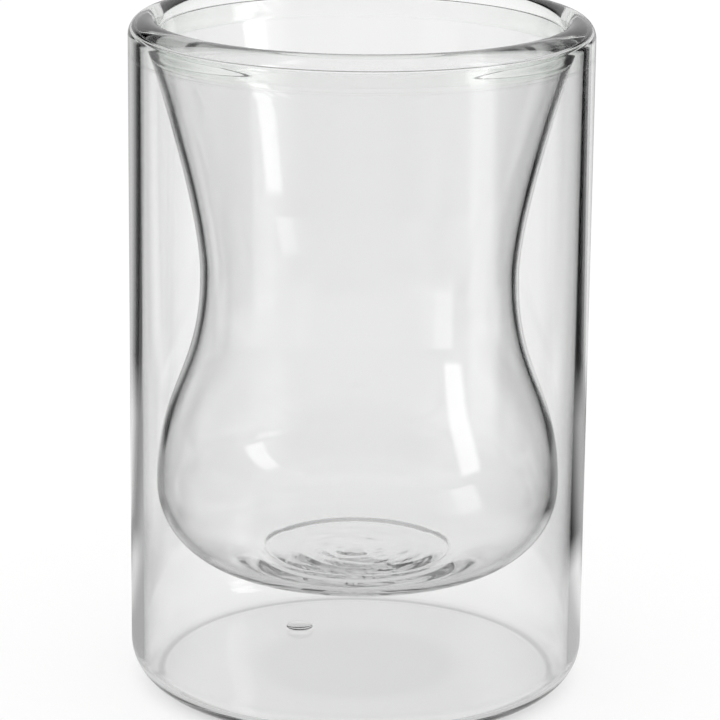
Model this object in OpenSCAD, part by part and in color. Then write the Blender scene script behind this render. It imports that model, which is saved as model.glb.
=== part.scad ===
/* [Cup] */
// Height of the cup, from the table to the top of the rim
cup_h = 118.4; // [106:0.2:132]
// Outer diameter of the straight outer wall
cup_d = 80; // [74:0.5:90]
// Radius of the rounded heel, where the outer wall turns into the base
heel_r = 7; // [4.5:0.5:9]

/* [Walls] */
// Thickness of the outer wall
wall_t = 2.1; // [1.6:0.1:2.6]
// Thickness of the base
base_t = 2.4; // [2:0.1:3.6]
// Thickness of the liner's wall
liner_t = 1.2; // [1:0.1:2]
// Thickness of the liner's bottom, without the swell in its middle
sump_t = 1.4; // [1.2:0.1:2.6]

/* [Liner] */
// Air gap between the widest part of the liner's bowl and the outer wall
bowl_gap = 2.5; // [1:0.1:6]
// Air gap between the base and the underside of the bowl
bowl_lift = 17.1; // [12:0.1:20]
// Depth of the bowl below its widest part
bowl_depth = 17.3; // [15:0.1:20]
// Height of the waist above the widest part of the bowl
shoulder_h = 36.6; // [34:0.2:40]
// Outer radius of the liner's narrow waist
waist_r = 27.7; // [25:0.1:30]
// Radius of the bowl's lower corner outside, as a share of the bowl's depth
corner_share = 0.867; // [0.7:0.001:0.92]
// Radius of the bowl's lower corner inside, as a share of the depth there
corner_in_share = 0.868; // [0.7:0.001:0.92]
// How long the shoulder keeps upright as it leaves the bowl, as a share of its height
shoulder_low_share = 0.443; // [0.3:0.001:0.6]
// How long the shoulder keeps upright before it meets the waist, as a share of its height
shoulder_high_share = 0.487; // [0.3:0.001:0.6]
// Height at which the mouth's two tangents meet, as a share of the way from waist to rim
neck_share = 0.27; // [0.1:0.01:0.6]
// Radius of the low swell that the gathered glass leaves in the middle of the liner's floor
swell_r = 17; // [13:0.5:20]
// Height of that swell above the floor's own curve
swell_h = 0.5; // [0.2:0.1:0.8]
// Radius of the small pip under the middle of the liner
pip_r = 2.4; // [1.8:0.1:3.2]
// Depth of the pip below the underside of the bowl
pip_h = 0.5; // [0.2:0.1:0.8]

/* [Rim] */
// Height of the fused rim above the joint with the two walls
rim_h = 6.4; // [5.6:0.2:8]
// Radius of the rim's outer edge
rim_outer_r = 3.2; // [2.6:0.1:3.6]
// Radius of the rim's inner edge
rim_inner_r = 2.2; // [1.8:0.1:2.4]
// Width of the closed air gap at its top
gap_top_w = 0.8; // [0.6:0.1:1.2]
// Thickness of the glass over the air gap
rim_cap_t = 2.7; // [2.2:0.1:3.2]

/* [Vent seal] */
// Radius of the closed vent hole in the base
vent_r = 1.4; // [1:0.1:2]
// Radius of the low drop of glass over the vent hole
vent_drop_r = 2.4; // [2:0.1:3]
// Height of the drop above the base's inner face
vent_drop_h = 0.7; // [0.4:0.1:1]
// Distance of the vent from the middle of the base
vent_offset = 19.7; // [14:0.1:24]
// Direction of the vent from the middle, in degrees anticlockwise from the right
vent_angle = 122; // [0:1:359]

/* [Hidden] */
$fn = 96;
// Number of straight steps along each curve of a wall's outline
steps = 10;
// Number of straight steps from the middle of the pip to its edge
pip_steps = 6;
// Neighbouring points nearer than this are taken as one
same_point = 0.001;

// Outer wall and base
cup_r = cup_d / 2;
shell_in_r = cup_r - wall_t;
heel_in_r = heel_r - wall_t;
joint_z = cup_h - rim_h;

// Outline of the liner's outer face
bowl_r = shell_in_r - bowl_gap;
bottom_z = base_t + bowl_lift;
bowl_z = bottom_z + bowl_depth;
waist_z = bowl_z + shoulder_h;
gap_r = gap_top_w / 2;
gap_arch_z = cup_h - rim_cap_t - gap_r;
mouth_r = shell_in_r - gap_top_w;
neck_z = waist_z + (joint_z - waist_z) * neck_share;

// Rim
rim_mid_z = cup_h - rim_outer_r;
rim_crest_r = cup_r - rim_outer_r;
rim_in_z = cup_h - rim_inner_r;
bead_r = rim_crest_r - rim_inner_r;
bead_drop = rim_in_z - joint_z;

// Points on an arc round (cx, cz), from one angle to another
function arc(cx, cz, r, from, to) =
    [for (i = [0:steps]) let (a = from + (to - from) * i / steps) [cx + r * cos(a), cz + r * sin(a)]];

// Radius of the shallow arc that closes a bowl at the bottom and meets its corner arc smoothly
function floor_r(reach, drop, corner) =
    (reach * reach + drop * drop - corner * corner) / (2 * (drop - corner));

// Outline of a bowl from its lowest point on the axis to its widest point
function bowl_curve(wide_r, low_z, share) =
    let (corner = (bowl_z - low_z) * share, reach = wide_r - corner)
    let (big = floor_r(reach, bowl_z - low_z, corner))
    let (turn = atan2(bowl_z - low_z - big, reach))
    concat(arc(0, low_z + big, big, -90, turn), arc(reach, bowl_z, corner, turn, 0));

// Height of the shallow arc at the bottom of a bowl, at a radius r
function floor_z(wide_r, low_z, share, r) =
    let (corner = (bowl_z - low_z) * share)
    let (big = floor_r(wide_r - corner, bowl_z - low_z, corner))
    low_z + big - sqrt(big * big - r * r);

// Point and direction at a share t of the way along a curve with four handles
function on_curve(h, t) = h[0] * pow(1 - t, 3) + 3 * h[1] * t * pow(1 - t, 2)
    + 3 * h[2] * t * t * (1 - t) + h[3] * pow(t, 3);
function along_curve(h, t) =
    (h[1] - h[0]) * pow(1 - t, 2) + 2 * (h[2] - h[1]) * t * (1 - t) + (h[3] - h[2]) * t * t;

// Height of a smooth round swell over its middle, at a radius r
function swell(r, wide, high) = high * (1 + cos(180 * min(r / wide, 1))) / 2;

// A part of an outline with a swell added to it about the axis
function swollen(points, wide, high) = [for (p = points) [p[0], p[1] + swell(p[0], wide, high)]];

// Direction square to a curve, towards the axis where the curve goes up
function inward(way) = [-way[1], way[0]] / norm(way);

// Outline along a curve, set in from it by a thickness
function curve_points(h, set_in) = [for (i = [0:steps]) let (t = i / steps)
    on_curve(h, t) + inward(along_curve(h, t)) * set_in];

// Shoulder between the widest point of the bowl and the waist
shoulder = [
    [bowl_r, bowl_z],
    [bowl_r, bowl_z + shoulder_h * shoulder_low_share],
    [waist_r, waist_z - shoulder_h * shoulder_high_share],
    [waist_r, waist_z]];

// Slope of the straight top of the mouth, from upright
mouth_slope = atan2(mouth_r - waist_r, gap_arch_z - neck_z);

// Radius of the liner's outer and inner face at a height in the straight top of its mouth
function mouth_at(z) = mouth_r - (gap_arch_z - z) * tan(mouth_slope);
function mouth_in_at(z) = mouth_at(z) - liner_t / cos(mouth_slope);

// Mouth between the waist and the joint with the rim
mouth = [
    [waist_r, waist_z],
    [waist_r, waist_z + (neck_z - waist_z) * 2 / 3],
    [mouth_at(joint_z) + (waist_r - mouth_at(joint_z)) * 2 / 3, joint_z - (joint_z - neck_z) * 2 / 3],
    [mouth_at(joint_z), joint_z]];

// Underside of the pip below the bowl, from the axis outwards
pip = [for (i = [0:pip_steps - 1]) let (r = pip_r * i / pip_steps)
    [r, floor_z(bowl_r, bottom_z, corner_share, r) - swell(r, pip_r, pip_h)]];

// Outline of the liner's outer face, from the axis up to the joint with the rim
liner_outside = concat(
    pip,
    [for (p = bowl_curve(bowl_r, bottom_z, corner_share)) if (p[0] > pip_r + same_point) p],
    curve_points(shoulder, 0),
    curve_points(mouth, 0));

// Outline of the liner's inner face, from the axis up to just below the joint, and the joint itself
liner_inside = concat(
    swollen(bowl_curve(bowl_r - liner_t, bottom_z + sump_t, corner_in_share), swell_r, swell_h),
    curve_points(shoulder, liner_t),
    [for (p = curve_points(mouth, liner_t)) if (p[1] < joint_z - liner_t) p],
    [[mouth_in_at(joint_z), joint_z]]);

// Inner side of the rim, from its crest's inner edge down to the liner's inner face
bead_side = [
    [bead_r, rim_in_z],
    [bead_r, rim_in_z - bead_drop / 2],
    [mouth_in_at(joint_z) + bead_drop / 4 * sin(mouth_slope), joint_z + bead_drop / 4 * cos(mouth_slope)],
    [mouth_in_at(joint_z), joint_z]];

// An outline walked the other way
function reversed(points) = [for (i = [len(points) - 1:-1:0]) points[i]];

// The points of an outline without neighbours that fall on each other
function distinct(points) = [for (i = [0:len(points) - 1])
    if (i == 0 || norm(points[i] - points[max(i - 1, 0)]) > same_point) points[i]];

module turned(points) {
    rotate_extrude() polygon(distinct(points));
}

module at_vent() {
    rotate(vent_angle) translate([vent_offset, 0, 0]) children();
}

// Straight outer wall with its rounded heel and flat base, open at the top
module outer_shell() {
    color([0.86, 0.9, 0.89, 0.35])
    difference() {
        turned(concat(
            [[0, 0]],
            arc(cup_r - heel_r, heel_r, heel_r, -90, 0),
            [[cup_r, joint_z], [shell_in_r, joint_z]],
            reversed(arc(shell_in_r - heel_in_r, base_t + heel_in_r, heel_in_r, -90, 0)),
            [[0, base_t]]));
        at_vent() translate([0, 0, -base_t]) cylinder(r = vent_r, h = 3 * base_t);
    }
}

// Hourglass liner that holds the drink, with a low swell in its floor and a pip under it
module inner_liner() {
    color([0.9, 0.93, 0.92, 0.35])
    turned(concat(liner_outside, reversed(liner_inside)));
}

// Fused rim that closes the air gap and joins the two walls
module rim_bead() {
    color([0.74, 0.84, 0.8, 0.5])
    turned(concat(
        [[shell_in_r, joint_z], [cup_r, joint_z]],
        arc(rim_crest_r, rim_mid_z, rim_outer_r, 0, 90),
        arc(rim_crest_r, rim_in_z, rim_inner_r, 90, 180),
        curve_points(bead_side, 0),
        [[mouth_at(joint_z), joint_z]],
        reversed(arc(shell_in_r - gap_r, gap_arch_z, gap_r, 0, 180))));
}

// Drop of glass that closes the hole through which the air leaves while the rim is fused
module vent_seal() {
    color([0.78, 0.86, 0.84, 0.5])
    at_vent() {
        cylinder(r = vent_r, h = base_t);
        translate([0, 0, base_t]) turned(concat(
            [[0, 0]],
            [for (i = [0:steps]) let (a = 90 * i / steps) [vent_drop_r * cos(a), vent_drop_h * sin(a)]]));
    }
}

outer_shell();
inner_liner();
rim_bead();
vent_seal();
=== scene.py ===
import math

import bmesh
import bpy
from mathutils import Matrix, Vector, noise


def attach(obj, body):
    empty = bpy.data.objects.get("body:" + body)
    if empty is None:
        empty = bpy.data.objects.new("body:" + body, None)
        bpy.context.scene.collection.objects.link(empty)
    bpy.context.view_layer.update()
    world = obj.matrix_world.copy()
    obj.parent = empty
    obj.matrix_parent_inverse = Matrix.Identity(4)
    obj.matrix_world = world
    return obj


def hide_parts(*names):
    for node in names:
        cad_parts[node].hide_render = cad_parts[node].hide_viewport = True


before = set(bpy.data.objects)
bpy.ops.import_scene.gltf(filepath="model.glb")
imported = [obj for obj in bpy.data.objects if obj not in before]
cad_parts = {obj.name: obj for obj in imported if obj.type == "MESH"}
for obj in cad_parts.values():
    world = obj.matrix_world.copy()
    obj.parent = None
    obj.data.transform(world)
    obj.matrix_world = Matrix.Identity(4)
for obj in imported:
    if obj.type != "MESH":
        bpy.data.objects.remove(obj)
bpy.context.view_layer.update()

MM = 0.001
# Steps round the cup, along each curve, out along the pip, out over the waves, and round the vent
TURN_STEPS = 256
CURVE_STEPS = 20
PIP_STEPS = 16
SWIRL_STEPS = 56
VENT_STEPS = 48
# Distance in millimetres of the ring that keeps a wall's shading true beside a sharp edge
EDGE_STEP = 0.03
# A ring with a smaller radius in millimetres is one point on the axis
POINT_R = 0.001
# Material slots of each piece: its glass, and the joints at which it is fused to another
GLASS = 0
SEAM = 1

# Sizes of the cup in millimetres, the same as the part's own
CUP_H = 118.4
CUP_R = 40.0
HEEL_R = 7.0
WALL_T = 2.1
BASE_T = 2.4
LINER_T = 1.2
SUMP_T = 1.4
BOWL_GAP = 2.5
BOWL_LIFT = 17.1
BOWL_DEPTH = 17.3
SHOULDER_H = 36.6
WAIST_R = 27.7
CORNER_SHARE = 0.867
CORNER_IN_SHARE = 0.868
SHOULDER_LOW_SHARE = 0.443
SHOULDER_HIGH_SHARE = 0.487
NECK_SHARE = 0.27
SWELL_R = 17.0
SWELL_H = 0.5
PIP_R = 2.4
PIP_H = 0.5
RIM_H = 6.4
RIM_OUTER_R = 3.2
RIM_INNER_R = 2.2
GAP_TOP_W = 0.8
RIM_CAP_T = 2.7
VENT_R = 1.4
VENT_DROP_R = 2.4
VENT_DROP_H = 0.7
VENT_OFFSET = 19.7
VENT_ANGLE = 122.0

SHELL_IN_R = CUP_R - WALL_T
# The glass gathers in the heel, so its inner corner is tighter than the wall's thickness makes it
HEEL_IN_R = 3.4
JOINT_Z = CUP_H - RIM_H
BOWL_R = SHELL_IN_R - BOWL_GAP
BOTTOM_Z = BASE_T + BOWL_LIFT
BOWL_Z = BOTTOM_Z + BOWL_DEPTH
WAIST_Z = BOWL_Z + SHOULDER_H
GAP_R = GAP_TOP_W / 2
GAP_ARCH_Z = CUP_H - RIM_CAP_T - GAP_R
MOUTH_R = SHELL_IN_R - GAP_TOP_W
NECK_Z = WAIST_Z + (JOINT_Z - WAIST_Z) * NECK_SHARE
MOUTH_SLOPE = math.atan2(MOUTH_R - WAIST_R, GAP_ARCH_Z - NECK_Z)
MOUTH_JOINT_R = MOUTH_R - (GAP_ARCH_Z - JOINT_Z) * math.tan(MOUTH_SLOPE)
MOUTH_IN_R = MOUTH_JOINT_R - LINER_T / math.cos(MOUTH_SLOPE)
# Length of a curve's handle, as a share of the way to the place where its two tangents meet
HANDLE_SHARE = 2 / 3
# Length of the two handles of the rim's inner side, as shares of its height
BEAD_HIGH_SHARE = 1 / 2
BEAD_LOW_SHARE = 1 / 4


# Outlines, as (radius, height) in millimetres

def arc(centre_r, centre_z, radius, start, end):
    """Points on an arc, angles in degrees from the outward direction."""
    points = []
    for i in range(CURVE_STEPS + 1):
        a = math.radians(start + (end - start) * i / CURVE_STEPS)
        points.append((centre_r + radius * math.cos(a), centre_z + radius * math.sin(a)))
    return points


def bowl_curve(wide_r, low_z, share):
    """Bottom of the bowl, from the axis to the widest point."""
    drop = BOWL_Z - low_z
    corner = drop * share
    reach = wide_r - corner
    big = (reach**2 + drop**2 - corner**2) / (2 * (drop - corner))
    turn = math.degrees(math.atan2(drop - big, reach))
    return arc(0, low_z + big, big, -90, turn) + arc(reach, BOWL_Z, corner, turn, 0)[1:]


def curve(handles, set_in=0.0):
    """Points along a cubic curve, set in towards the axis by a thickness."""
    points = []
    a, b, c, d = [Vector(h) for h in handles]
    for i in range(CURVE_STEPS + 1):
        t = i / CURVE_STEPS
        u = 1 - t
        place = a * u**3 + b * 3 * t * u * u + c * 3 * t * t * u + d * t**3
        way = ((b - a) * u * u + (c - b) * 2 * t * u + (d - c) * t * t).normalized()
        points.append((place.x - way.y * set_in, place.y + way.x * set_in))
    return points


def beside(edge, inner):
    """The point a small step away from an edge towards its neighbour."""
    edge, inner = Vector(edge), Vector(inner)
    return tuple(edge + (inner - edge).normalized() * EDGE_STEP)


def held(points, start=True, end=True):
    """An outline with a further point close to its sharp ends."""
    first = [points[0], beside(points[0], points[1])] if start else [points[0]]
    last = [beside(points[-1], points[-2]), points[-1]] if end else [points[-1]]
    return first + points[1:-1] + last


SHOULDER = [
    (BOWL_R, BOWL_Z),
    (BOWL_R, BOWL_Z + SHOULDER_H * SHOULDER_LOW_SHARE),
    (WAIST_R, WAIST_Z - SHOULDER_H * SHOULDER_HIGH_SHARE),
    (WAIST_R, WAIST_Z),
]
MOUTH = [
    (WAIST_R, WAIST_Z),
    (WAIST_R, WAIST_Z + (NECK_Z - WAIST_Z) * HANDLE_SHARE),
    (
        MOUTH_JOINT_R + (WAIST_R - MOUTH_JOINT_R) * HANDLE_SHARE,
        JOINT_Z - (JOINT_Z - NECK_Z) * HANDLE_SHARE,
    ),
    (MOUTH_JOINT_R, JOINT_Z),
]


def swell(r, wide, high):
    """Height of a smooth round swell over its middle."""
    return high * (1 + math.cos(math.pi * min(r / wide, 1))) / 2


def floor_z(wide_r, low_z, share, r):
    """Height of the shallow arc at the bottom of a bowl."""
    drop = BOWL_Z - low_z
    corner = drop * share
    big = ((wide_r - corner)**2 + drop**2 - corner**2) / (2 * (drop - corner))
    return low_z + big - math.sqrt(big**2 - r**2)


def swollen(wide_r, low_z, share, swell_r, swell_h, steps):
    """Bottom of a bowl with a swell about the axis, which gets even fine steps."""
    points = []
    for i in range(steps + 1):
        r = swell_r * i / steps
        points.append((r, floor_z(wide_r, low_z, share, r) + swell(r, swell_r, swell_h)))
    return points + [p for p in bowl_curve(wide_r, low_z, share) if p[0] > swell_r + EDGE_STEP]


def liner_outside():
    low = swollen(BOWL_R, BOTTOM_Z, CORNER_SHARE, PIP_R, -PIP_H, PIP_STEPS)
    return low + curve(SHOULDER)[1:] + curve(MOUTH)[1:]


def liner_inside():
    wide_r = BOWL_R - LINER_T
    low = swollen(wide_r, BOTTOM_Z + SUMP_T, CORNER_IN_SHARE, SWELL_R, SWELL_H, SWIRL_STEPS)
    high = [p for p in curve(MOUTH, LINER_T)[1:] if p[1] < JOINT_Z - LINER_T]
    return low + curve(SHOULDER, LINER_T)[1:] + high + [(MOUTH_IN_R, JOINT_Z)]


# Meshes

def new_piece(name, verts, faces, materials, face_slots, flat_faces):
    """A smooth closed mesh in metres, with the named faces flat."""
    mesh = bpy.data.meshes.new(name)
    mesh.from_pydata([[c * MM for c in v] for v in verts], [], faces)
    for material in materials:
        mesh.materials.append(material)
    for i, face in enumerate(mesh.polygons):
        face.material_index = face_slots[i]
        face.use_smooth = i not in flat_faces
    mesh.update()
    piece = bpy.data.objects.new(name, mesh)
    bpy.context.scene.collection.objects.link(piece)
    return piece


class Turned:
    """Rings of points round an axis and the faces between them."""

    def __init__(self, centre=(0.0, 0.0), steps=TURN_STEPS):
        self.centre = centre
        self.steps = steps
        self.verts = []
        self.faces = []
        self.slots = []
        self.flat = set()

    def ring(self, radius, height):
        """Indices of a new ring, or of one point on the axis."""
        start = len(self.verts)
        if radius < POINT_R:
            self.verts.append((*self.centre, height))
            return [start]
        for i in range(self.steps):
            a = math.tau * i / self.steps
            x = self.centre[0] + radius * math.cos(a)
            y = self.centre[1] + radius * math.sin(a)
            self.verts.append((x, y, height))
        return list(range(start, start + self.steps))

    def add(self, face, slot, flat):
        if flat:
            self.flat.add(len(self.faces))
        self.faces.append(face)
        self.slots.append(slot)

    def band(self, low, high, slot=GLASS, flat=False):
        """Faces between two rings, facing away from the axis when the outline goes up."""
        for i in range(self.steps):
            j = (i + 1) % self.steps
            if len(low) == 1:
                self.add((low[0], high[j], high[i]), slot, flat)
            elif len(high) == 1:
                self.add((low[i], low[j], high[0]), slot, flat)
            else:
                self.add((low[i], low[j], high[j], high[i]), slot, flat)

    def outline(self, points):
        """Rings along an outline with faces between them. Returns the first and last ring."""
        rings = [self.ring(*p) for p in points]
        for low, high in zip(rings, rings[1:]):
            self.band(low, high)
        return rings[0], rings[-1]

    def piece(self, name, materials):
        return new_piece(name, self.verts, self.faces, materials, self.slots, self.flat)


def vent_place():
    a = math.radians(VENT_ANGLE)
    return VENT_OFFSET * math.cos(a), VENT_OFFSET * math.sin(a)


def plate_with_hole(form, outer, hole, up):
    """Flat triangles between an outer ring and a small hole's ring."""
    bm = bmesh.new()
    made = {}
    for index in outer + hole:
        made[index] = bm.verts.new(form.verts[index])
    for loop in (outer, hole):
        for a, b in zip(loop, loop[1:] + loop[:1]):
            bm.edges.new((made[a], made[b]))
    bmesh.ops.triangle_fill(bm, edges=bm.edges[:], use_beauty=True)
    names = {vert: index for index, vert in made.items()}
    for face in bm.faces:
        corners = [names[v] for v in face.verts]
        face.normal_update()
        if (face.normal.z > 0) != up:
            corners.reverse()
        form.add(tuple(corners), GLASS, True)
    bm.free()


def ring_at(form, centre, radius, height, steps):
    """A ring of a form about another centre."""
    kept = form.centre, form.steps
    form.centre, form.steps = centre, steps
    ring = form.ring(radius, height)
    form.centre, form.steps = kept
    return ring


def band_at(form, low, high):
    """A fused joint between two rings that have fewer steps than their form."""
    kept = form.steps
    form.steps = len(low)
    form.band(low, high, SEAM, True)
    form.steps = kept


def make_outer_shell(glass, seam):
    form = Turned()
    outside = arc(CUP_R - HEEL_R, HEEL_R, HEEL_R, -90, 0) + [(CUP_R, JOINT_Z)]
    foot, top = form.outline(held(outside, start=False))
    inside = [(SHELL_IN_R, JOINT_Z)]
    inside += arc(SHELL_IN_R - HEEL_IN_R, BASE_T + HEEL_IN_R, HEEL_IN_R, 0, -90)
    lip_in, floor = form.outline(held(inside, end=False))
    form.band(top, lip_in, SEAM, True)
    vent = vent_place()
    low = ring_at(form, vent, VENT_R, 0, VENT_STEPS)
    high = ring_at(form, vent, VENT_R, BASE_T, VENT_STEPS)
    edge = ring_at(form, vent, VENT_DROP_R, BASE_T, VENT_STEPS)
    plate_with_hole(form, foot, low, False)
    plate_with_hole(form, floor, edge, True)
    band_at(form, edge, high)
    band_at(form, high, low)
    return form.piece("shell_glass", [glass, seam])


# Twisted waves that the gathered glass leaves in the liner's floor: their height and their width
# outwards in millimetres, their twist in radians per millimetre, how much they change on the way
# round, the radius within which they change less, how steeply they fade towards the pool's edge,
# and the place in the noise that they are taken from
SWIRL_H = 0.19
SWIRL_WAVE = 2.3
SWIRL_TURN = 0.16
SWIRL_AROUND = 1.5
SWIRL_CALM_R = 5.0
SWIRL_FADE = 1.6
SWIRL_PLACE = Vector((0.0, 0.0, 7.3))


def swirl(x, y):
    """Height of the frozen waves at a place on the liner's floor."""
    r = math.hypot(x, y)
    if r >= SWELL_R:
        return 0.0
    angle = math.atan2(y, x) + SWIRL_TURN * (SWELL_R - r)
    around = min(1.0, r / SWIRL_CALM_R) * SWIRL_AROUND
    place = Vector((r / SWIRL_WAVE, around * math.cos(angle), around * math.sin(angle)))
    fade = math.sin(math.pi * min(1.0, SWIRL_FADE * (1 - r / SWELL_R)) / 2)
    return SWIRL_H * noise.noise(place + SWIRL_PLACE) * fade


# Level pool in the middle of the liner's floor, the width of its steep edge, and the low brow that
# the gathered glass leaves round it
POOL_Z = 22.75
POOL_EDGE = 1.2
BROW_H = 1.2
BROW_R = 29.0


def eased(share):
    """Smooth step from 0 to 1."""
    share = min(1.0, max(0.0, share))
    return share * share * (3 - 2 * share)


def pooled(r, z):
    """Height of the liner's floor, raised to the brow and lowered to the level pool inside it."""
    raised = z + BROW_H * eased((BROW_R - r) / (BROW_R - SWELL_R))
    return raised + (POOL_Z - raised) * eased((SWELL_R - r) / POOL_EDGE)


def make_inner_liner(glass, seam):
    form = Turned()
    _, top = form.outline(held(liner_outside(), start=False))
    inside_start = len(form.verts)
    lip_in, _ = form.outline(held(list(reversed(liner_inside())), end=False))
    for i in range(inside_start, len(form.verts)):
        x, y, z = form.verts[i]
        if z < BOWL_Z:
            form.verts[i] = (x, y, pooled(math.hypot(x, y), z) + swirl(x, y))
    form.band(top, lip_in, SEAM, True)
    return form.piece("liner_glass", [glass, seam])


def make_rim_bead(glass, seam):
    form = Turned()
    outside = [(CUP_R, JOINT_Z)]
    outside += arc(CUP_R - RIM_OUTER_R, CUP_H - RIM_OUTER_R, RIM_OUTER_R, 0, 90)
    inner_arc = arc(CUP_R - RIM_OUTER_R, CUP_H - RIM_INNER_R, RIM_INNER_R, 90, 180)
    apex_r, apex_z = inner_arc[-1]
    bead_drop = apex_z - JOINT_Z
    low_handle = bead_drop * BEAD_LOW_SHARE
    bead = curve([
        (apex_r, apex_z),
        (apex_r, apex_z - bead_drop * BEAD_HIGH_SHARE),
        (MOUTH_IN_R + low_handle * math.sin(MOUTH_SLOPE), JOINT_Z + low_handle * math.cos(MOUTH_SLOPE)),
        (MOUTH_IN_R, JOINT_Z),
    ])
    first, last = form.outline(held(outside + inner_arc[1:] + bead[1:]))
    arch = arc(SHELL_IN_R - GAP_R, GAP_ARCH_Z, GAP_R, 180, 0)
    gap_in, gap_out = form.outline(held([(MOUTH_JOINT_R, JOINT_Z)] + arch + [(SHELL_IN_R, JOINT_Z)]))
    form.band(last, gap_in, SEAM, True)
    form.band(gap_out, first, SEAM, True)
    return form.piece("rim_glass", [glass, seam])


def make_vent_seal(glass, seam):
    form = Turned(vent_place(), VENT_STEPS)
    dome = []
    for i in range(CURVE_STEPS + 1):
        a = math.radians(90 * i / CURVE_STEPS)
        dome.append((VENT_DROP_R * math.cos(a), BASE_T + VENT_DROP_H * math.sin(a)))
    dome[-1] = (0, BASE_T + VENT_DROP_H)
    edge, _ = form.outline(held(dome, end=False))
    low = form.ring(VENT_R, 0)
    high = form.ring(VENT_R, BASE_T)
    form.band(form.ring(0, 0), low, GLASS, True)
    form.band(low, high, SEAM, True)
    form.band(high, edge, SEAM, True)
    return form.piece("vent_glass", [glass, seam])


# Materials

def new_tree(owner):
    owner.use_nodes = True
    tree = owner.node_tree
    tree.nodes.clear()
    return tree


def node(tree, kind, **settings):
    made = tree.nodes.new(kind)
    for name, value in settings.items():
        setattr(made, name, value)
    return made


def math_node(tree, operation, *values):
    """A sum or the like of values, each a socket or a number."""
    made = node(tree, "ShaderNodeMath", operation=operation)
    for socket, value in zip(made.inputs, values):
        if isinstance(value, (int, float)):
            socket.default_value = value
        else:
            tree.links.new(value, socket)
    return made.outputs[0]


GLASS_IOR = 1.47
# Tint of the glass where it is seen face on, how far the deeper tint reaches in from the edges, and
# how many of its slow drifts lie along a metre
PALE_TINT = (1.0, 1.0, 1.0)
EDGE_BLEND = 0.3
DRIFT_SCALE = 30.0


def add_ripples(tree, shader, place, ripple_mm, ripple_size_mm):
    """Waves too low to see as such, which only bend what the glass mirrors."""
    ripple = node(tree, "ShaderNodeTexNoise")
    ripple.inputs["Scale"].default_value = 1 / (ripple_size_mm * MM)
    ripple.inputs["Detail"].default_value = 1.0
    bump = node(tree, "ShaderNodeBump")
    bump.inputs["Strength"].default_value = 1.0
    bump.inputs["Distance"].default_value = ripple_mm * MM
    tree.links.new(place, ripple.inputs["Vector"])
    tree.links.new(ripple.outputs["Fac"], bump.inputs["Height"])
    tree.links.new(bump.outputs["Normal"], shader.inputs["Normal"])


def glass_material(name, deep_tint, drift_share, ripple_mm, ripple_size_mm):
    """Clear glass, deeper in tint where it is seen edge on and by slow drifts, with faint ripples."""
    material = bpy.data.materials.new(name)
    tree = new_tree(material)
    output = node(tree, "ShaderNodeOutputMaterial")
    shader = node(tree, "ShaderNodeBsdfPrincipled")
    shader.inputs["Transmission Weight"].default_value = 1.0
    shader.inputs["Roughness"].default_value = 0.0
    shader.inputs["IOR"].default_value = GLASS_IOR
    place = node(tree, "ShaderNodeTexCoord").outputs["Object"]
    drift = node(tree, "ShaderNodeTexNoise")
    drift.inputs["Scale"].default_value = DRIFT_SCALE
    edge = node(tree, "ShaderNodeLayerWeight")
    edge.inputs["Blend"].default_value = EDGE_BLEND
    depth = math_node(tree, "MULTIPLY_ADD", drift.outputs["Fac"], drift_share, edge.outputs["Facing"])
    tint = node(tree, "ShaderNodeMix", data_type="RGBA")
    tint.inputs["A"].default_value = (*PALE_TINT, 1)
    tint.inputs["B"].default_value = (*deep_tint, 1)
    tree.links.new(place, drift.inputs["Vector"])
    tree.links.new(depth, tint.inputs["Factor"])
    tree.links.new(tint.outputs["Result"], shader.inputs["Base Color"])
    add_ripples(tree, shader, place, ripple_mm, ripple_size_mm)
    tree.links.new(shader.outputs["BSDF"], output.inputs["Surface"])
    return material


def seam_material():
    """Where two pieces of glass are fused there is no surface between them."""
    material = bpy.data.materials.new("fused_joint")
    tree = new_tree(material)
    output = node(tree, "ShaderNodeOutputMaterial")
    clear = node(tree, "ShaderNodeBsdfTransparent")
    tree.links.new(clear.outputs["BSDF"], output.inputs["Surface"])
    return material


# Studio: a white table under a white sky. What the glass mirrors of it is a darker table with white
# sheets on it at three distances, dark walls with a broad pale opening behind the cup, and a tall
# soft box at the cup's right, a little towards the camera.
# Each list gives levels by direction in degrees, 0 being straight behind the cup and 90 its right.

WALLS_LOW = [
    (-95, 0.0), (-85, 0.25), (-60, 0.0), (-50, 0.65), (-30, 0.65), (0, 0.75), (30, 0.75), (50, 0.0),
    (100, 0.05), (110, 0.2), (130, 0.0),
]
WALLS_HIGH = [
    (-135, 0.0), (-125, 0.2), (-115, 0.0), (-35, 0.0), (-25, 0.75), (0, 0.8), (30, 0.7), (50, 0.0),
    (106, 0.0), (107, 3.0), (119, 3.0), (120, 0.3), (130, 0.3), (140, 0.0),
]
TABLE_NEAR = [
    (-180, 0.1), (-150, 0.2), (-130, 0.6), (-115, 0.6), (-105, 0.4), (-60, 0.4), (-46, 0.8), (-25, 0.0),
    (-15, 0.0), (0, 0.4), (12, 0.4), (25, 0.0), (46, 0.9), (65, 0.5), (105, 0.45), (130, 0.6), (145, 0.1),
    (180, 0.1),
]
TABLE_FAR = [
    (-180, 0.15), (-125, 0.1), (-82, 0.1), (-80, 0.0), (-75, 0.0), (-72, 0.5), (-55, 0.45), (-42, 0.2),
    (-36, 0.35), (-30, 0.9), (-20, 0.6), (0, 0.65), (10, 0.45), (20, 0.05), (28, 0.5), (35, 0.45),
    (55, 0.0), (90, 0.1), (110, 0.35), (140, 0.15), (180, 0.15),
]
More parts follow.
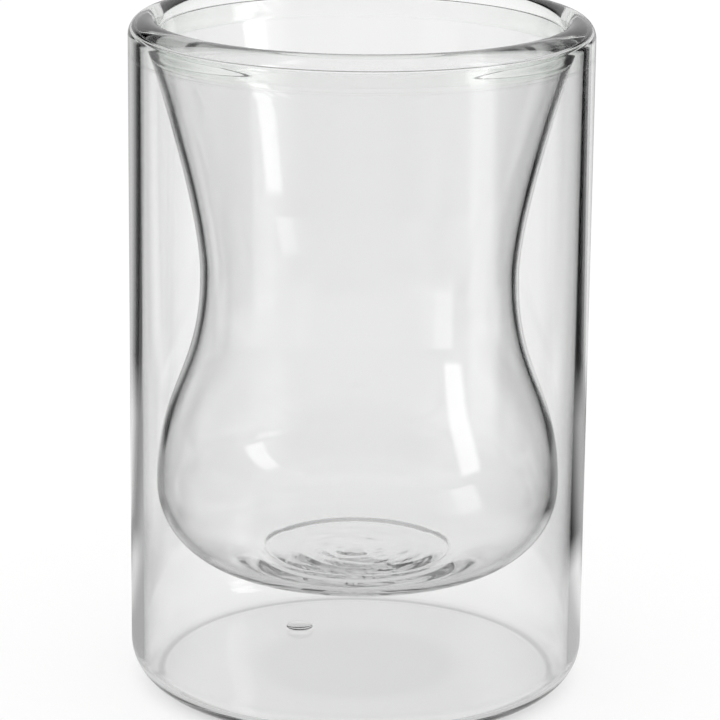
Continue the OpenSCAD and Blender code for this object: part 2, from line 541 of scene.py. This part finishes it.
TABLE_END = [
    (-150, 0.1), (-140, 0.5), (-125, 0.0), (-115, 0.0), (-107, 0.35), (-82, 0.35), (-80, 0.0), (-75, 0.0),
    (-73, 0.5), (-46, 0.45), (-44, 0.0), (-34, 0.0), (-26, 0.6), (0, 0.5), (10, 0.2), (20, 0.9), (28, 0.9),
    (30, 0.0), (45, 0.0), (50, 0.2), (60, 0.0), (70, 0.4), (75, 0.4), (76, 0.0), (81, 0.0), (82, 0.3),
    (90, 0.0), (112, 0.1), (113, 1.6), (125, 1.6), (128, 0.7), (140, 0.1),
]
# Sines of the heights over which the low walls give way to the high ones, and those to the dim top
WALL_RISE = (0.05, 0.09)
WALL_TOP = (0.62, 0.7)
TOP_LEVEL = 0.3
# Level of the table under the cup, and its further parts, each with the distances in metres from
# the cup's axis over which it begins
UNDER_LEVEL = 0.66
TABLE_PARTS = [
    ((0.043, 0.048), TABLE_NEAR),
    ((0.085, 0.105), TABLE_FAR),
    ((0.18, 0.23), TABLE_END),
]
# Where straight behind the cup lies, as a share of a full turn
BEHIND_SHARE = 0.5


def ramp_of(tree, value, stops):
    """Grey levels along a value from 0 to 1, from a list of (value, level)."""
    ramp = node(tree, "ShaderNodeValToRGB")
    elements = ramp.color_ramp.elements
    while len(elements) > 1:
        elements.remove(elements[-1])
    for i, (place, level) in enumerate(stops):
        stop = elements[0] if i == 0 else elements.new(place)
        stop.position = place
        stop.color = (level, level, level, 1)
    tree.links.new(value, ramp.inputs["Fac"])
    return ramp.outputs["Color"]


def studio(tree, turn, stops):
    """Grey levels round the cup, from a list of (direction in degrees, level)."""
    return ramp_of(tree, turn, [(degrees / 360 + BEHIND_SHARE, level) for degrees, level in stops])


def turn_of(tree, place):
    """Share of a full turn round the cup's axis, and the height, of a place or a direction."""
    parts = node(tree, "ShaderNodeSeparateXYZ")
    tree.links.new(place, parts.inputs[0])
    angle = math_node(tree, "ARCTAN2", parts.outputs["X"], parts.outputs["Y"])
    share = math_node(tree, "MULTIPLY_ADD", angle, 1 / math.tau, BEHIND_SHARE)
    return share, parts.outputs["Z"]


def passing(tree, value, edge):
    """0 below an edge's first value, 1 above its second."""
    step = node(tree, "ShaderNodeMapRange")
    step.inputs["From Min"].default_value = edge[0]
    step.inputs["From Max"].default_value = edge[1]
    tree.links.new(value, step.inputs["Value"])
    return step.outputs["Result"]


def blend(tree, factor, first, second):
    """Mix of two colours, each a socket or a grey level, by a socket or a share."""
    mix = node(tree, "ShaderNodeMix", data_type="RGBA")
    if isinstance(factor, float):
        mix.inputs["Factor"].default_value = factor
    else:
        tree.links.new(factor, mix.inputs["Factor"])
    for name, value in (("A", first), ("B", second)):
        if isinstance(value, (int, float)):
            mix.inputs[name].default_value = (value, value, value, 1)
        else:
            tree.links.new(value, mix.inputs[name])
    return mix.outputs["Result"]


# A count of bounces above this is one or more
NO_BOUNCE = 0.5


def mirrored_in_glass(tree):
    """1 for a ray that the glass has mirrored on its way from the eye, 0 for every other."""
    path = node(tree, "ShaderNodeLightPath")
    mirrored = math_node(tree, "GREATER_THAN", path.outputs["Glossy Depth"], NO_BOUNCE)
    direct = math_node(tree, "LESS_THAN", path.outputs["Diffuse Depth"], NO_BOUNCE)
    return math_node(tree, "MULTIPLY", mirrored, direct)


def make_world():
    world = bpy.data.worlds.new("studio")
    bpy.context.scene.world = world
    tree = new_tree(world)
    output = node(tree, "ShaderNodeOutputWorld")
    light = node(tree, "ShaderNodeBackground")
    place = node(tree, "ShaderNodeTexCoord")
    turn, height = turn_of(tree, place.outputs["Generated"])
    rise = passing(tree, height, WALL_RISE)
    walls = blend(tree, rise, studio(tree, turn, WALLS_LOW), studio(tree, turn, WALLS_HIGH))
    walls = blend(tree, passing(tree, height, WALL_TOP), walls, TOP_LEVEL)
    seen = blend(tree, mirrored_in_glass(tree), 1.0, walls)
    tree.links.new(seen, light.inputs["Color"])
    tree.links.new(light.outputs["Background"], output.inputs["Surface"])


FLOOR_R = 3.0
FLOOR_STEPS = 96
FLOOR_DROP = 0.0002
# Painted shade on the table by distance from the axis in millimetres, as seen beside the cup and through
# it:
# a painted shadow ring round the heel, and through the glass a painted darker middle under the cup
PAINTED_SHADE = [(0, 1.0), (32.5, 1.0), (33.5, 0.62), (35, 0.76), (36.5, 0.88), (38.5, 0.96), (40.5, 1.0)]
PAINTED_SHADE_INSIDE = [
    (0, 0.89), (16, 0.89), (20, 0.95), (33.8, 0.95), (34.4, 0.66), (34.9, 0.74), (35.8, 0.95), (38, 1.0),
]
PAINTED_SHADE_REACH = 50.0
# Level of the table's white, and the share of it that is lit paint, on which the cup's shadow falls
WHITE_LEVEL = 1.02
PAINT_SHARE = 0.25


def painted_table_shade(tree, reach):
    """Painted shade of the table near the cup, one ramp beside the cup and one seen through the glass."""
    share = math_node(tree, "MULTIPLY", reach, 1 / (PAINTED_SHADE_REACH * MM))
    beside_cup = ramp_of(tree, share, [(radius / PAINTED_SHADE_REACH, level) for radius, level in PAINTED_SHADE])
    inside = ramp_of(tree, share, [(radius / PAINTED_SHADE_REACH, level) for radius, level in PAINTED_SHADE_INSIDE])
    path = node(tree, "ShaderNodeLightPath")
    through = math_node(tree, "GREATER_THAN", path.outputs["Transmission Depth"], NO_BOUNCE)
    return blend(tree, through, beside_cup, inside)


def floor_material():
    """White table with painted shade close to the cup, and the sheets and darker table that the glass
    mirrors.
    """
    material = bpy.data.materials.new("white_table")
    tree = new_tree(material)
    output = node(tree, "ShaderNodeOutputMaterial")
    place = node(tree, "ShaderNodeTexCoord")
    reach = node(tree, "ShaderNodeVectorMath", operation="LENGTH")
    tree.links.new(place.outputs["Object"], reach.inputs[0])
    distance = reach.outputs["Value"]
    # Painted shade: a darker ring round the heel and a darker middle under the cup, on both paint and glow
    painted_shade = painted_table_shade(tree, distance)
    paint = node(tree, "ShaderNodeBsdfDiffuse")
    glow = node(tree, "ShaderNodeEmission")
    tree.links.new(blend(tree, PAINT_SHARE, 0.0, painted_shade), paint.inputs["Color"])
    tree.links.new(painted_shade, glow.inputs["Color"])
    glow.inputs["Strength"].default_value = WHITE_LEVEL - PAINT_SHARE
    white = node(tree, "ShaderNodeAddShader")
    tree.links.new(paint.outputs["BSDF"], white.inputs[0])
    tree.links.new(glow.outputs["Emission"], white.inputs[1])
    turn, _ = turn_of(tree, place.outputs["Object"])
    levels = UNDER_LEVEL
    for edge, stops in TABLE_PARTS:
        levels = blend(tree, passing(tree, distance, edge), levels, studio(tree, turn, stops))
    sheet = node(tree, "ShaderNodeEmission")
    tree.links.new(levels, sheet.inputs["Color"])
    mix = node(tree, "ShaderNodeMixShader")
    tree.links.new(mirrored_in_glass(tree), mix.inputs["Fac"])
    tree.links.new(white.outputs["Shader"], mix.inputs[1])
    tree.links.new(sheet.outputs["Emission"], mix.inputs[2])
    tree.links.new(mix.outputs["Shader"], output.inputs["Surface"])
    return material


def make_floor():
    bm = bmesh.new()
    bmesh.ops.create_circle(bm, cap_ends=True, segments=FLOOR_STEPS, radius=FLOOR_R)
    mesh = bpy.data.meshes.new("table")
    bm.to_mesh(mesh)
    bm.free()
    mesh.materials.append(floor_material())
    floor = bpy.data.objects.new("table", mesh)
    floor.location.z = -FLOOR_DROP
    bpy.context.scene.collection.objects.link(floor)


# Camera, fitted to the photograph's outlines. It looks at a height on the cup's axis, which lies a
# little aside of the frame's middle.

FOCAL_PX = 3585.084
FRAME_PX = 720
SENSOR_MM = 36.0
TILT = math.radians(15.2463)
ROLL = math.radians(0.5925)
DISTANCE_MM = 628.18
TARGET_MM = 57.444
SIDE_PX = 1.335
CLIP_START = 0.01
CLIP_END = 100.0


def make_camera():
    away = Vector((0, -math.cos(TILT), math.sin(TILT)))
    right = Vector((1, 0, 0))
    up = right.cross(-away)
    rolled_right = right * math.cos(ROLL) + up * math.sin(ROLL)
    rolled_up = up * math.cos(ROLL) - right * math.sin(ROLL)
    aside = rolled_right * (SIDE_PX / FOCAL_PX * DISTANCE_MM)
    place = (Vector((0, 0, TARGET_MM)) + away * DISTANCE_MM + aside) * MM
    data = bpy.data.cameras.new("camera")
    data.sensor_width = SENSOR_MM
    data.lens = FOCAL_PX * SENSOR_MM / FRAME_PX
    data.clip_start = CLIP_START
    data.clip_end = CLIP_END
    camera = bpy.data.objects.new("camera", data)
    bpy.context.scene.collection.objects.link(camera)
    turn = Matrix((rolled_right, rolled_up, away)).transposed()
    camera.matrix_world = Matrix.Translation(place) @ turn.to_4x4()
    bpy.context.scene.camera = camera


# Light passes many faces of glass before it leaves the cup
BOUNCES = 32
GLOSSY_BOUNCES = 16


def set_look():
    scene = bpy.context.scene
    scene.view_settings.view_transform = "Standard"
    scene.cycles.max_bounces = BOUNCES
    scene.cycles.transmission_bounces = BOUNCES
    scene.cycles.glossy_bounces = GLOSSY_BOUNCES
    scene.cycles.transparent_max_bounces = BOUNCES


def dress(piece, node_name):
    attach(piece, "root")
    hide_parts(node_name)


# Tint of each glass where it is seen edge on, how much of it the drifts add, and its ripples
SHELL_LOOK = dict(deep_tint=(0.978, 0.981, 0.98), drift_share=0.3, ripple_mm=0.004, ripple_size_mm=22)
LINER_LOOK = dict(deep_tint=(0.972, 0.976, 0.974), drift_share=0.3, ripple_mm=0.012, ripple_size_mm=9)
RIM_LOOK = dict(deep_tint=(0.9, 0.95, 0.9), drift_share=0.05, ripple_mm=0.004, ripple_size_mm=14)


def build():
    seam = seam_material()
    shell = glass_material("shell_clear_glass", **SHELL_LOOK)
    liner = glass_material("liner_clear_glass", **LINER_LOOK)
    rim = glass_material("rim_green_glass", **RIM_LOOK)
    dress(make_outer_shell(shell, seam), "outer_shell")
    dress(make_inner_liner(liner, seam), "inner_liner")
    dress(make_rim_bead(rim, seam), "rim_bead")
    dress(make_vent_seal(shell, seam), "vent_seal")


build()
make_world()
make_floor()
make_camera()
set_look()
